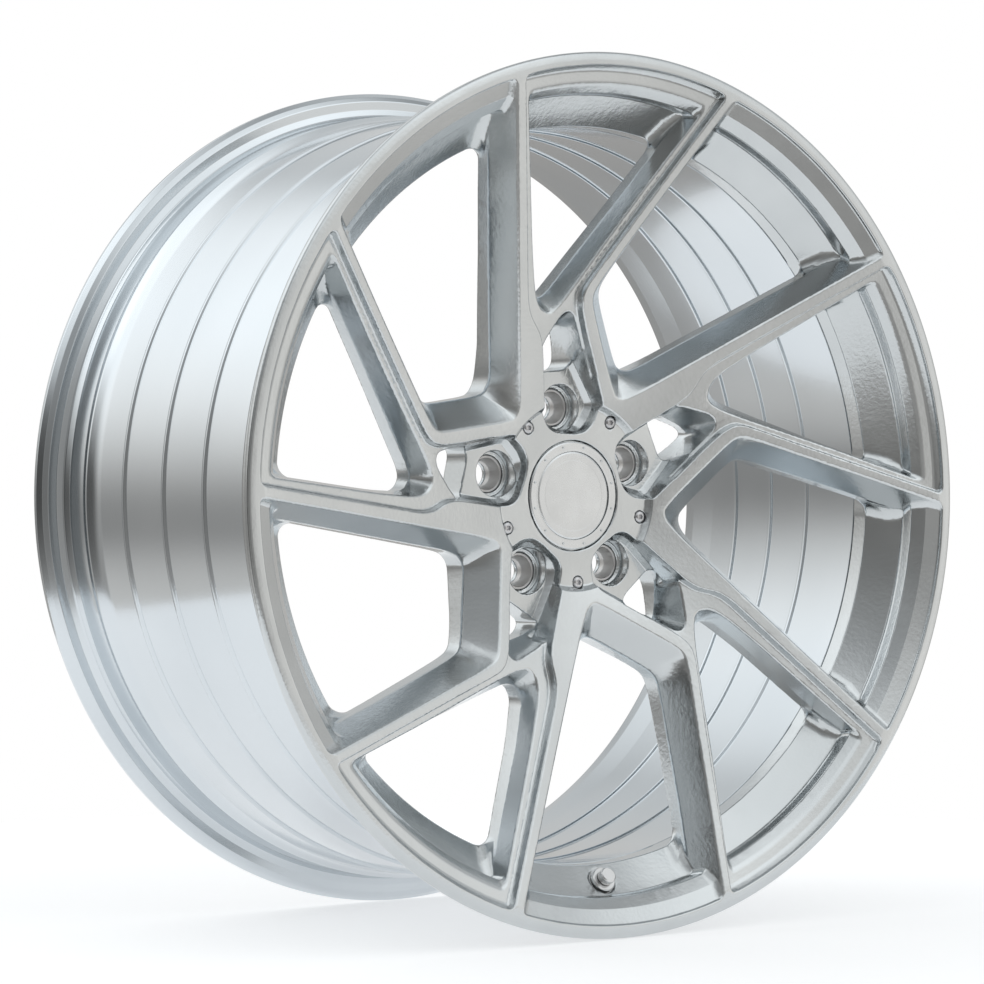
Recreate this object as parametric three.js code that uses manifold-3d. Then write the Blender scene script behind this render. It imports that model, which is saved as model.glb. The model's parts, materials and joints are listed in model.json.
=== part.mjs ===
// Forged racing wheel rim, 20 x 9.5 J, five lug bores on a 112 mm circle.
// Units are millimetres. The wheel turns about the Y axis, the street face looks
// toward -Y, +Z is up and the origin is the centre of the rim.
import * as THREE from 'three';
import { mergeVertices } from 'three/addons/utils/BufferGeometryUtils.js';
import Module from 'manifold-3d';

const wasm = await Module();
wasm.setup();

// ---- driving dimensions -------------------------------------------------
const HALF = 130.92;            // half of the overall width, crest to crest
const RIM_R = 273.8;            // flange outer radius of a 20 inch J contour
const SEAT_R = 256.4;           // bead seat radius, 512.8 mm diameter
const FLANGE_T = 10.27;         // crest to inner flange face (241.3 mm between the faces)
const N_SPOKE = 5;              // spoke pairs
const PITCH = 360 / N_SPOKE;
const SEG = 50;                 // facets of the large turned surfaces
const JOINT_D = 50.5;            // depth of the weld between the forging and the barrel
const FACE_D0 = 50, FACE_R0 = 64, FACE_SLOPE = 0.2519;  // concave cone of the spoke faces
const LEDGE = 5.5;              // drop from the spoke face to the inner step
const DRAFT = 19;               // depth of the drafted part of the window walls, straight behind it
const PLATE_D = 55.3;           // depth of the hub plate
const PAD_D = 64;               // depth of the lug pads
const MOUNT_D = 90;             // depth of the hub mounting face
const LUG = { x: -4.0, z: 56.0 };      // first lug bore, on the 112 mm circle
const LUG_CB_R = 14.5, LUG_CB_D = 73;  // socket clearance counterbore
const INSERT_R = 12.0, INSERT_D = 86;  // pocket of the seat insert
const STUD_R = 8.0;             // clearance hole through the mounting face
const BORE_R = 33.3;            // hub centring bore
const CAP_R = 34.1;             // centre cap
const SCREW_RAD = 55.0, SCREW_ANG = 57.8;
const VALVE_ANG = 270.7, VALVE_R = 241.0, VALVE_D = 29.5, VALVE_TILT = 32;

const rad = (a) => a * Math.PI / 180;
const Y = (d) => d - HALF;      // depth behind the front crest to the Y coordinate
const faceD = (r) => FACE_D0 - FACE_SLOPE * (r - FACE_R0);

// ---- solids -------------------------------------------------------------
// A turned solid about Y. Profile points are [radius, depth].
function turned(profile, seg = SEG, phase = 0) {
  const pts = profile.map(([r, d]) => new THREE.Vector2(r, Y(d)));
  const closed = profile[0][0] > 1e-9 || profile[profile.length - 1][0] > 1e-9;
  if (closed) pts.push(pts[0].clone());
  const g = new THREE.LatheGeometry(pts, seg);
  if (phase) g.rotateY(rad(phase));
  return g;
}

function toManifold(geometry) {
  const g = geometry.clone();
  g.deleteAttribute('normal'); g.deleteAttribute('uv');
  const m = mergeVertices(g.index ? g.toNonIndexed() : g, 1e-4);
  const pos = m.attributes.position, idx = [];
  for (let i = 0; i < m.index.count; i += 3) {
    const a = m.index.getX(i), b = m.index.getX(i + 1), c = m.index.getX(i + 2);
    if (a !== b && b !== c && c !== a) idx.push(a, b, c);
  }
  let vol = 0;
  const P = (i) => [pos.getX(i), pos.getY(i), pos.getZ(i)];
  for (let i = 0; i < idx.length; i += 3) {
    const [a, b, c] = [P(idx[i]), P(idx[i + 1]), P(idx[i + 2])];
    vol += a[0] * (b[1] * c[2] - b[2] * c[1]) + a[1] * (b[2] * c[0] - b[0] * c[2]) + a[2] * (b[0] * c[1] - b[1] * c[0]);
  }
  if (vol < 0) for (let i = 0; i < idx.length; i += 3) [idx[i + 1], idx[i + 2]] = [idx[i + 2], idx[i + 1]];
  return new wasm.Manifold(new wasm.Mesh({
    numProp: 3, vertProperties: new Float32Array(pos.array), triVerts: new Uint32Array(idx),
  }));
}

function toGeometry(manifold) {
  const mesh = manifold.getMesh();
  const g = new THREE.BufferGeometry();
  const out = new Float32Array((mesh.vertProperties.length / mesh.numProp) * 3);
  for (let i = 0, j = 0; i < mesh.vertProperties.length; i += mesh.numProp, j += 3) {
    out[j] = mesh.vertProperties[i]; out[j + 1] = mesh.vertProperties[i + 1]; out[j + 2] = mesh.vertProperties[i + 2];
  }
  g.setAttribute('position', new THREE.BufferAttribute(out, 3));
  g.setIndex(new THREE.BufferAttribute(new Uint32Array(mesh.triVerts), 1));
  g.computeVertexNormals();
  return g;
}

// A lofted solid through rings of [x, depth, z] points, every ring with the same
// number of points in the same order.
function loft(rings) {
  const n = rings[0].length, pos = [], idx = [];
  for (const ring of rings) for (const [x, d, z] of ring) pos.push(x, Y(d), z);
  for (let k = 0; k + 1 < rings.length; k++) {
    for (let i = 0; i < n; i++) {
      const j = (i + 1) % n, a = k * n + i, b = k * n + j, c = (k + 1) * n + j, e = (k + 1) * n + i;
      idx.push(a, b, c, a, c, e);
    }
  }
  const capOf = (ring) => THREE.ShapeUtils.triangulateShape(ring.map(([x, , z]) => new THREE.Vector2(x, z)), []);
  const area = (ring) => THREE.ShapeUtils.area(ring.map(([x, , z]) => new THREE.Vector2(x, z)));
  const last = (rings.length - 1) * n;
  const s0 = area(rings[0]) > 0;
  for (const [a, b, c] of capOf(rings[0])) s0 ? idx.push(a, c, b) : idx.push(a, b, c);
  for (const [a, b, c] of capOf(rings[rings.length - 1])) s0 ? idx.push(last + a, last + b, last + c) : idx.push(last + a, last + c, last + b);
  const g = new THREE.BufferGeometry();
  g.setAttribute('position', new THREE.Float32BufferAttribute(pos, 3));
  g.setIndex(idx);
  return toManifold(g);
}

const at = (poly, d) => poly.map(([x, z]) => [x, typeof d === 'function' ? d(Math.hypot(x, z)) : d, z]);
const turnZ = ([x, z], deg) => {
  const c = Math.cos(rad(deg)), s = Math.sin(rad(deg));
  return [x * c - z * s, x * s + z * c];
};
// the same solid in all five sectors
function five(manifold) {
  const out = [];
  for (let k = 0; k < N_SPOKE; k++) out.push(manifold.rotate([0, -PITCH * k, 0]));
  return out;
}

// ---- the forged centre --------------------------------------------------
// Turned blank: bore, hub plate, concave face cone, lip, bead seat, well and back.
const blank = [
  [35.0, PLATE_D], [57.6, PLATE_D], [60.6, 51.0], [262.5, 0], [269.0, 0],
  [272.4, 0.5], [RIM_R, 1.8], [RIM_R, 4.6], [271.2, 8.0], [268.2, FLANGE_T], [262.4, FLANGE_T], [258.2, 12.2],
  [SEAT_R - 0.2, 16.8], [SEAT_R - 1.5, 32.0], [SEAT_R - 0.4, 36.5], [253.0, 41.4],
  [244.4, JOINT_D],
  [231.4, JOINT_D], [231.4, 39.5], [230.4, 38.4],
  [204, 45.7], [168, 55], [139, 63.4], [114, 70.5], [92, 80.5], [77, 87.5], [73, MOUNT_D],
  [34.5, MOUNT_D], [BORE_R, 88.8], [BORE_R, 69.5], [30.3, 69.5], [30.3, 58.2], [35.0, 58.2],
];
// everything inside the inner wall of the lip, the trough and the well
const inside = [
  [0, -12], [265.8, -12], [265.4, 2.2], [256.0, 6.3], [249.5, 13.0], [250.0, 22.0],
  [243.0, 28.2], [231.4, 38.2], [231.4, 112], [0, 112],
];
const interior = toManifold(turned(inside, SEG));

// narrow window between the straight spoke and the bent spoke
const w1Front = [[-78, 282], [-67, 232], [-50, 155], [-43.4, 129], [-39, 117.5], [-31, 112],
  [-24, 114], [-13, 128], [30, 191], [60, 232], [90, 273], [10, 300]];
const w1Back = [[-74.8, 281.5], [-63.9, 231.5], [-47.2, 154.5], [-42.2, 137.4], [-39.4, 128.3], [-31.8, 123.5],
  [-24.8, 126], [-16.5, 136.5], [23, 188.5], [52, 228.5], [82, 272.6], [8, 300]];
// wide window between the bent spoke and the straight spoke of the next pair
const w2Front = [[104, 276.5], [50, 200.5], [1.8, 131.4], [-0.8, 125.4], [0.2, 118.6], [26.4, 64], [29.6, 60.4],
  [36, 59.8], [42, 62.4], [210.2, 155.6], [236.5, 170.2], [180, 235]];
const w2Back = [[120, 280], [62.6, 200.6], [21.8, 140], [17.4, 131], [18.8, 123.6], [37.2, 85.6], [41, 81.4],
  [47, 80.2], [54, 82.2], [196, 158.6], [226, 176], [180, 235]];
// through opening between the bridge and the lug pad
const w3Front = [[-32.2, 87], [-30.5, 95.5], [-19, 112], [-15, 115], [-11, 115], [-7.4, 111.6],
  [1.6, 94], [6.5, 84], [0, 79.8], [-27.5, 77.2]];
const w3Back = [[-28, 84], [-25, 91], [-14.8, 103.4], [-11.5, 106], [-8.2, 106.8], [-5.4, 105],
  [0, 94], [3.4, 84.4], [0, 79.8], [-27.5, 77.2]];
// step along both sides of the narrow window
const stepTop = [[-84.4, 287], [-51, 120], [-47, 110.5], [-37, 100], [-32.6, 88],
  [-29, 72], [15, 72], [1.5, 99], [-6.4, 117], [-7.4, 126], [-4, 133], [64.5, 230], [98, 277], [5, 300]];
const stepBot = [[-82.6, 287], [-49.4, 121], [-45.6, 112], [-35.6, 101], [-31.2, 88],
  [-28, 72], [14, 72], [0.2, 99], [-7.8, 117], [-8.9, 126.2], [-5.3, 133.8], [63.2, 231], [96.6, 278], [5, 300]];
// pocket of one lug pad, cut through the edge of the hub plate
const padTop = [[-33.5, 92], [-26.2, 57], [-23.8, 50], [-20.6, 43], [-14.6, 39.4], [1, 38.6], [10, 40], [16.4, 45.4],
  [21, 56.4], [20, 60], [4.4, 94], [-24, 97]];
const padMid = [[-30, 90], [-23.8, 57], [-22.2, 51], [-19.2, 44.6], [-14, 41], [1, 40.2], [7.6, 41.2], [12.8, 46],
  [18.8, 56.6], [18, 60.4], [-0.6, 92], [-22, 93]];
const padFloor = [[-26.8, 90], [-20.6, 57.4], [-19, 52.2], [-16.6, 47], [-12.6, 44.1], [1, 43.4], [5.8, 44.2], [9.6, 48],
  [15, 57], [14.6, 59.2], [-3, 91], [-20, 93]];

const cutters = [];
{
  const w1 = loft([at(w1Front, -12), at(w1Front, (r) => faceD(r) + LEDGE - 1), at(w1Back, (r) => faceD(r) + DRAFT), at(w1Back, 112)]).intersect(interior);
  const w2 = loft([at(w2Front, -12), at(w2Front, (r) => faceD(r) - 1), at(w2Back, (r) => faceD(r) + DRAFT), at(w2Back, 112)]).intersect(interior);
  const w3 = loft([at(w3Front, 20), at(w3Front, 44), at(w3Back, 66), at(w3Back, 112)]);
  const above = toManifold(turned([[0, -12], [265.4, -12], [265.4, faceD(265.4) + LEDGE], [60, faceD(60) + LEDGE], [0, faceD(60) + LEDGE]], SEG));
  const step = loft([at(stepTop, -12), at(stepTop, (r) => faceD(r) - 1), at(stepBot, (r) => faceD(r) + LEDGE + 0.6)]).intersect(above);
  const pad = loft([at(padTop, 30), at(padTop, (r) => (r < 58 ? PLATE_D - 1 : faceD(r) - 1)), at(padMid, 60.6), at(padFloor, PAD_D)]);
  // lug bore: socket clearance, insert pocket, stud clearance
  const lug = toManifold(turned([[0, 50], [LUG_CB_R, 50], [LUG_CB_R, LUG_CB_D], [INSERT_R, LUG_CB_D], [INSERT_R, INSERT_D],
    [STUD_R, INSERT_D], [STUD_R, 95], [0, 95]], 20)).translate([LUG.x, 0, LUG.z]);
  const sx = SCREW_RAD * Math.cos(rad(SCREW_ANG)), sz = SCREW_RAD * Math.sin(rad(SCREW_ANG));
  const screw = toManifold(turned([[0, 45], [4.2, 45], [4.2, 56.9], [2.3, 56.9], [2.3, 68], [0, 68]], 10)).translate([sx, 0, sz]);
  for (const c of [w1, w2, w3, step, pad, lug, screw]) cutters.push(...five(c));
}

// frame of the valve: local +Y of a turned piece runs toward the street side
const valveDir = new THREE.Vector3(
  -Math.cos(rad(VALVE_ANG)) * Math.sin(rad(VALVE_TILT)), -Math.cos(rad(VALVE_TILT)),
  -Math.sin(rad(VALVE_ANG)) * Math.sin(rad(VALVE_TILT)));
const valveBase = new THREE.Vector3(VALVE_R * Math.cos(rad(VALVE_ANG)), Y(VALVE_D), VALVE_R * Math.sin(rad(VALVE_ANG)));
const valveTurn = new THREE.Quaternion().setFromUnitVectors(new THREE.Vector3(0, 1, 0), valveDir);
// profile points are [radius, distance along the valve]
function valvePiece(profile, seg = 16) {
  const pts = profile.map(([r, s]) => new THREE.Vector2(r, s));
  if (profile[0][0] > 1e-9) pts.push(pts[0].clone());
  const g = new THREE.LatheGeometry(pts, seg);
  g.applyQuaternion(valveTurn);
  g.translate(valveBase.x, valveBase.y, valveBase.z);
  return g;
}
cutters.push(toManifold(valvePiece([[0, -40], [10.2, -40], [10.2, -15.5], [5.7, -15.5], [5.7, -2.0], [9.2, -2.0], [9.2, 14], [0, 14]], 16)));

let centre = toManifold(turned(blank, SEG));
for (const c of cutters) centre = centre.subtract(c);
centre = centre.simplify(0.12);

// ---- the spun barrel ----------------------------------------------------
const W = 2 * HALF;
const barrelR = (d) => 237.9 + (d - 60) * 0.0900;       // outer cone of the barrel
const wall = 6.6;
const barrelProfile = [
  [231.5, JOINT_D + 0.3], [244.2, JOINT_D + 0.3], [238.9, 56.4], [238.1, 60.5], [barrelR(101.6), 101.6], [barrelR(101.6) + 0.9, 103.4],
  [barrelR(143.6), 143.6], [barrelR(143.6) + 0.9, 145.4], [barrelR(185.6), 185.6], [barrelR(185.6) + 0.9, 187.4],
  [251.8, 217.0], [SEAT_R - 0.4, 225.0], [SEAT_R - 1.5, 229.8], [SEAT_R - 0.2, W - 16.8],
  [258.2, W - 12.2], [262.4, W - FLANGE_T], [268.2, W - FLANGE_T], [271.2, W - 8.0], [RIM_R, W - 4.6], [RIM_R, W - 1.8],
  [272.4, W - 0.5], [268.0, W], [259.8, W - 0.6], [249.6, W - 10.6], [248.0, W - 21.0], [246.2, 217.0],
  [barrelR(187.4) - wall + 0.6, 187.4], [barrelR(185.6) - wall - 0.2, 185.6], [barrelR(145.4) - wall + 0.6, 145.4],
  [barrelR(143.6) - wall - 0.2, 143.6], [barrelR(103.4) - wall + 0.6, 103.4], [barrelR(101.6) - wall - 0.2, 101.6],
];

// ---- node list ----------------------------------------------------------
const group = new THREE.Group();
group.name = 'forged_racing_wheel_rim';
const finish = {
  forged: [0xb9bcbe, 1, 0.34], barrel: [0xc4ccd2, 1, 0.26], steel: [0x8f9296, 1, 0.4], screw: [0x9a9da0, 1, 0.3],
  cap: [0xb4b7ba, 0.9, 0.36], rubber: [0x17181a, 0, 0.8], brass: [0xb08d4a, 1, 0.35],
};
function add(name, geometry, kind) {
  const [color, metalness, roughness] = finish[kind];
  const mesh = new THREE.Mesh(geometry, new THREE.MeshStandardMaterial({ color, metalness, roughness }));
  mesh.name = name;
  group.add(mesh);
}

add('forged_centre', toGeometry(centre), 'forged');
add('rim_barrel', turned(barrelProfile, SEG), 'barrel');

for (let k = 0; k < N_SPOKE; k++) {
  const [x, z] = turnZ([LUG.x, LUG.z], PITCH * k);
  const g = turned([[INSERT_R - 0.3, 73.4], [INSERT_R - 0.3, INSERT_D - 0.3], [7.9, INSERT_D - 0.3], [7.9, 81.4], [10.2, 73.4]], 20);
  g.translate(x, 0, z);
  add(`lug_seat_${k + 1}`, g, 'steel');
}
for (let k = 0; k < N_SPOKE; k++) {
  const a = rad(SCREW_ANG + PITCH * k);
  const g = turned([[0, 55.6], [1.3, 55.6], [1.5, 54.1], [3.0, 54.5], [3.8, 55.6], [3.8, 56.6], [2.0, 56.6], [2.0, 66.5], [0, 66.5]], 10);
  g.translate(SCREW_RAD * Math.cos(a), 0, SCREW_RAD * Math.sin(a));
  add(`hub_screw_${k + 1}`, g, 'screw');
}
add('cap_body', turned([[0, 56.9], [28.0, 56.9], [28.0, 55.0], [33.2, 55.0], [CAP_R, 55.7], [CAP_R, 57.9], [29.9, 57.9],
  [29.9, 64.0], [28.7, 64.0], [28.7, 66.4], [29.9, 66.4], [29.5, 68.8], [27.6, 68.8], [27.6, 59.4], [0, 59.4]], 32), 'cap');
add('cap_face', turned([[0, 55.3], [26.6, 55.3], [27.7, 55.7], [27.7, 56.6], [0, 56.6]], 32), 'cap');
{
  const ring = [];
  for (let i = 0; i < 5; i++) ring.push([29.5 + 0.6 * Math.cos(rad(72 * i)), 65.2 + 0.6 * Math.sin(rad(72 * i))]);
  add('cap_spring_ring', turned(ring, 32), 'steel');
}
add('valve_stem', valvePiece([[2.5, -22.0], [8.2, -22.0], [8.2, -18.9], [4.2, -18.9], [4.2, 3.2], [3.8, 3.6], [3.8, 6.6], [2.5, 6.6]]), 'screw');
add('valve_seal', valvePiece([[4.6, -18.6], [8.6, -18.6], [8.6, -15.8], [4.6, -15.8]]), 'rubber');
add('valve_washer', valvePiece([[4.6, -1.7], [8.6, -1.7], [8.6, -0.8], [4.6, -0.8]]), 'steel');
add('valve_nut', valvePiece([[4.6, -0.5], [8.3, -0.5], [8.3, 2.2], [7.4, 3.0], [4.6, 3.0]]), 'barrel');
add('valve_core', valvePiece([[0.95, -12.0], [2.2, -12.0], [2.2, 5.4], [0.95, 5.4]], 14), 'brass');
add('valve_core_pin', valvePiece([[0, -13.6], [0.65, -13.6], [0.65, 6.4], [0, 6.4]], 10), 'brass');
add('valve_cap', valvePiece([[0, 7.0], [4.1, 7.0], [4.1, 3.5], [5.3, 3.5], [5.3, 7.9], [4.4, 8.6], [0, 8.6]]), 'forged');

export default group;
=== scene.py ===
import bmesh
import bpy
import json
import math
import numpy as np
from mathutils import Matrix, Vector

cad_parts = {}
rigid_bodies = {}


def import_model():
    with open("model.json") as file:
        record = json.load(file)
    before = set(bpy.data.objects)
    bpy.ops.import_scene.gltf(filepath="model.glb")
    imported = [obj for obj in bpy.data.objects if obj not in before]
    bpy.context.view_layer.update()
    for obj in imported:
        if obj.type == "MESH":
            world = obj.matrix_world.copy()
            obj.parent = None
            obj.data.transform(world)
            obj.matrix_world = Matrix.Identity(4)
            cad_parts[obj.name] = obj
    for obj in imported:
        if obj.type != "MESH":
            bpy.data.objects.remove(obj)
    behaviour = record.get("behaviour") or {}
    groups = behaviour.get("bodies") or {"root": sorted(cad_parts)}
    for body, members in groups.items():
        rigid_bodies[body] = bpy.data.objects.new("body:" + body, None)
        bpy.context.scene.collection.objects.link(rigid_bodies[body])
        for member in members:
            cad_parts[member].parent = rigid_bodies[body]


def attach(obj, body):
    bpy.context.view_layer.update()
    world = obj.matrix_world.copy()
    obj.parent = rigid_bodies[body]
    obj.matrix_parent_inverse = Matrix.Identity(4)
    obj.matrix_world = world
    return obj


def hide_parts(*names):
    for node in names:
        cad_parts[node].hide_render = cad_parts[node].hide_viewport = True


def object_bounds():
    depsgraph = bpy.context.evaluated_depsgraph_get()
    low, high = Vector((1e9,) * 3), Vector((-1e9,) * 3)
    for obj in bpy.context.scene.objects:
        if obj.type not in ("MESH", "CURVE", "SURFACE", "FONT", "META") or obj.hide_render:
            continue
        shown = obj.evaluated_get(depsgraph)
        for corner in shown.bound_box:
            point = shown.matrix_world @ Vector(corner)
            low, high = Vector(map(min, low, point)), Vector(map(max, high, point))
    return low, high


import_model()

CAD_LO, CAD_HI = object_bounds()

# ---------------------------------------------------------------------------
# small geometry kit, millimetres: r = radius about the wheel's axis, d = depth
# behind the front crest, (x, z) = the wheel's plane seen from the street side
# ---------------------------------------------------------------------------
HALF, RIM_R, SEAT_R, FL_T, DRAFT = 130.92, 273.8, 256.4, 10.27, 19.0
W = 2 * HALF
PITCH = math.radians(72.0)


def face_d(r):
    return 50.0 - 0.2519 * (r - 64.0)


def smooth(poly, c=6.0, rounds=3):
    """Cuts the corners of a closed outline; a cut is never longer than c."""
    p = np.array(poly, float)
    for k in range(rounds):
        q = np.roll(p, -1, 0)
        v = q - p
        s = np.minimum(0.25, (c / 2 ** k) / np.maximum(np.linalg.norm(v, axis=1, keepdims=True), 1e-9))
        p = np.stack([p + v * s, q - v * s], 1).reshape(-1, 2)
    return p


def fillet(points, n=5, closed=True):
    """Rounds the corners of an outline; a point is (a, b) or (a, b, radius)."""
    P = [(p[0], p[1], p[2] if len(p) > 2 else 0.0) for p in points]
    m, out = len(P), []
    for i in range(m):
        p = np.array(P[i][:2], float)
        R = P[i][2]
        if R <= 0 or (not closed and i in (0, m - 1)):
            out.append(p)
            continue
        a = np.array(P[i - 1][:2], float) - p
        b = np.array(P[(i + 1) % m][:2], float) - p
        la, lb = np.linalg.norm(a), np.linalg.norm(b)
        a, b = a / la, b / lb
        turn = math.pi - math.acos(max(-1.0, min(1.0, float(a @ b))))
        if turn < 0.02:
            out.append(p)
            continue
        t = min(R * math.tan(turn / 2), 0.47 * la, 0.47 * lb)
        R = t / math.tan(turn / 2)
        mid = (a + b) / np.linalg.norm(a + b)
        c = p + mid * (R / math.cos(turn / 2))
        s, e = p + a * t - c, p + b * t - c
        w = math.atan2(s[0] * e[1] - s[1] * e[0], float(s @ e))
        k = max(1, min(n, int(math.ceil(abs(w) / math.radians(12)))))
        for j in range(k + 1):
            g = w * j / k
            out.append(c + np.array([s[0] * math.cos(g) - s[1] * math.sin(g), s[0] * math.sin(g) + s[1] * math.cos(g)]))
    return np.array(out)


def poly_sd(poly, X, Z):
    """Signed distance to a closed outline, negative inside."""
    best = np.full(X.shape, 1e12, np.float32)
    inside = np.zeros(X.shape, bool)
    n = len(poly)
    for i in range(n):
        ax, az = poly[i]
        bx, bz = poly[(i + 1) % n]
        ex, ez = bx - ax, bz - az
        L = ex * ex + ez * ez
        if L < 1e-12:
            continue
        px, pz = X - ax, Z - az
        h = np.clip((px * ex + pz * ez) / L, 0, 1)
        np.minimum(best, (px - h * ex) ** 2 + (pz - h * ez) ** 2, out=best)
        if abs(ez) > 1e-9:
            cross = (az <= Z) != (bz <= Z)
            inside ^= cross & (px < pz * (ex / ez))
    s = np.sqrt(best)
    return np.where(inside, -s, s).astype(np.float32)


def eased(k):
    """Runs straight from 0 to 1 and stays there, with the turn at 1 slightly rounded."""
    e = 0.06
    return np.clip(np.where(k > 1 - e, 1 - np.maximum(1 + e - k, 0) ** 2 / (4 * e), k), 0, 1)


def rmax(a, b, R):
    """Intersection with its edge rounded to radius R."""
    return np.minimum(-R, np.maximum(a, b)) + np.hypot(np.maximum(a + R, 0), np.maximum(b + R, 0))


def cut(s, c, R):
    return rmax(s, -c, R)


# ---- outlines of the pockets in one 72 degree sector ----------------------
w1_front = smooth([[-78, 282], [-67, 232], [-50, 155], [-43.4, 129], [-39, 117.5], [-31, 112],
                   [-24, 114], [-13, 128], [30, 191], [60, 232], [90, 273], [10, 300]])
w1_back = smooth([[-74.8, 281.5], [-63.9, 231.5], [-47.2, 154.5], [-42.2, 137.4], [-39.4, 128.3], [-31.8, 123.5],
                  [-24.8, 126], [-16.5, 136.5], [23, 188.5], [52, 228.5], [82, 272.6], [8, 300]])
w2_front = smooth([[104, 276.5], [50, 200.5], [1.8, 131.4], [-0.8, 125.4], [0.2, 118.6], [26.4, 64], [29.6, 60.4],
                   [36, 59.8], [42, 62.4], [210.2, 155.6], [236.5, 170.2], [180, 235]])
w2_back = smooth([[120, 280], [62.6, 200.6], [21.8, 140], [17.4, 131], [18.8, 123.6], [37.2, 85.6], [41, 81.4],
                  [47, 80.2], [54, 82.2], [196, 158.6], [226, 176], [180, 235]])
w3_front = smooth([[-32.2, 87], [-30.5, 95.5], [-19, 112], [-15, 115], [-11, 115], [-7.4, 111.6],
                   [1.6, 94], [6.5, 84], [0, 79.8], [-27.5, 77.2]], 3)
w3_back = smooth([[-28, 84], [-25, 91], [-14.8, 103.4], [-11.5, 106], [-8.2, 106.8], [-5.4, 105],
                  [0, 94], [3.4, 84.4], [0, 79.8], [-27.5, 77.2]], 3)
step_top = smooth([[-84.4, 287], [-51, 120], [-47, 110.5], [-37, 100], [-32.6, 88],
                   [-29, 72], [15, 72], [1.5, 99], [-6.4, 117], [-7.4, 126], [-4, 133], [64.5, 230], [98, 277], [5, 300]], 3)
step_bot = smooth([[-82.6, 287], [-49.4, 121], [-45.6, 112], [-35.6, 101], [-31.2, 88],
                   [-28, 72], [14, 72], [0.2, 99], [-7.8, 117], [-8.9, 126.2], [-5.3, 133.8], [63.2, 231], [96.6, 278], [5, 300]], 3)
pad_top = smooth([[-33.5, 92], [-26.2, 57], [-23.8, 50], [-20.6, 43], [-14.6, 39.4], [1, 38.6], [10, 40], [16.4, 45.4],
                  [21, 56.4], [20, 60], [4.4, 94], [-24, 97]], 1.5)
pad_mid = smooth([[-30, 90], [-23.8, 57], [-22.2, 51], [-19.2, 44.6], [-14, 41], [1, 40.2], [7.6, 41.2], [12.8, 46],
                  [18.8, 56.6], [18, 60.4], [-0.6, 92], [-22, 93]], 1.5)
pad_floor = smooth([[-26.8, 90], [-20.6, 57.4], [-19, 52.2], [-16.6, 47], [-12.6, 44.1], [1, 43.4], [5.8, 44.2], [9.6, 48],
                    [15, 57], [14.6, 59.2], [-3, 91], [-20, 93]], 1.5)
OUTLINES = [w1_front, w1_back, w2_front, w2_back, w3_front, w3_back, step_top, step_bot, pad_top, pad_mid, pad_floor]
LUG = (-4.0, 56.0)
SCREW = (55.0 * math.cos(math.radians(57.8)), 55.0 * math.sin(math.radians(57.8)))

blank = fillet([
    (35.0, 55.3, 0.5), (57.6, 55.3, 1.2), (60.6, 51.0, 1.0), (262.5, 0, 1.0), (269.0, 0, 2.0),
    (272.4, 0.5, 1.0), (RIM_R, 1.8, 1.0), (RIM_R, 4.6, 1.0), (271.2, 8.0, 2.0), (268.2, FL_T, 1.5), (262.4, FL_T, 2.0), (258.2, 12.2, 3.0),
    (SEAT_R - 0.2, 16.8, 4.0), (SEAT_R - 1.5, 32.0, 6.0), (SEAT_R - 0.4, 36.5, 3.0), (253.0, 41.4, 5.0),
    (244.4, 50.5, 0.4),
    (231.4, 50.5, 0.5), (231.4, 39.2, 1.0), (230.4, 38.4, 1.0),
    (204, 45.7, 30), (168, 55.0, 30), (139, 63.4, 30), (114, 70.5, 20), (92, 80.5, 30), (77, 87.5, 2), (73, 90.0, 2),
    (34.5, 90.0, 0.4), (33.3, 88.8, 0.4), (33.3, 69.5, 0.3), (30.3, 69.5, 0.3), (30.3, 58.2, 0.3), (35.0, 58.2, 0.3)])
inside = fillet([
    (0, -30), (265.9, -30), (265.4, 2.2, 0.7), (256.0, 6.3, 0.5), (249.5, 13.0, 1.5), (250.0, 22.0, 3.0),
    (243.0, 28.2, 1.0), (231.4, 38.2, 1.5), (231.4, 130), (0, 130)])

# valve: a frame along its axis
V_ANG, V_R, V_D, V_TILT = math.radians(270.7), 241.0, 29.5, math.radians(32)
V_DIR = np.array([-math.cos(V_ANG) * math.sin(V_TILT), -math.cos(V_TILT), -math.sin(V_ANG) * math.sin(V_TILT)])
V_BASE = np.array([V_R * math.cos(V_ANG), V_D - HALF, V_R * math.sin(V_ANG)])

T0 = math.radians(30.0)          # first angle of the modelled sector
V_TURN = 3                       # the valve lies three sectors on


def sector_fields(r, t):
    """The eleven outlines and the two bore distances at polar points, all copies merged."""
    out = []
    turned = [(r * np.cos(t + PITCH * k), r * np.sin(t + PITCH * k)) for k in (-1, 0, 1)]
    for poly in OUTLINES:
        out.append(np.minimum.reduce([poly_sd(poly, X, Z) for X, Z in turned]))
    for cx, cz in (LUG, SCREW):
        out.append(np.minimum.reduce([np.hypot(X - cx, Z - cz) for X, Z in turned]))
    return np.array(out, np.float32)


class Table:
    """A table on an even grid, read between its points."""

    def __init__(self, values, a0, da, b0, db, wrap=None):
        self.v, self.a0, self.da, self.b0, self.db, self.wrap = values, a0, da, b0, db, wrap

    def __call__(self, a, b):
        a, b = np.broadcast_arrays(a, b)
        fa = np.clip((a - self.a0) / self.da, 0, self.v.shape[-2] - 1.001)
        b = (b - self.b0) % self.wrap if self.wrap else b - self.b0
        fb = np.clip(b / self.db, 0, self.v.shape[-1] - 1.001)
        i, j = fa.astype(np.int32), fb.astype(np.int32)
        u, w = (fa - i).astype(np.float32), (fb - j).astype(np.float32)
        v = self.v
        return ((v[..., i, j] * (1 - u) + v[..., i + 1, j] * u) * (1 - w)
                + (v[..., i, j + 1] * (1 - u) + v[..., i + 1, j + 1] * u) * w)


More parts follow.
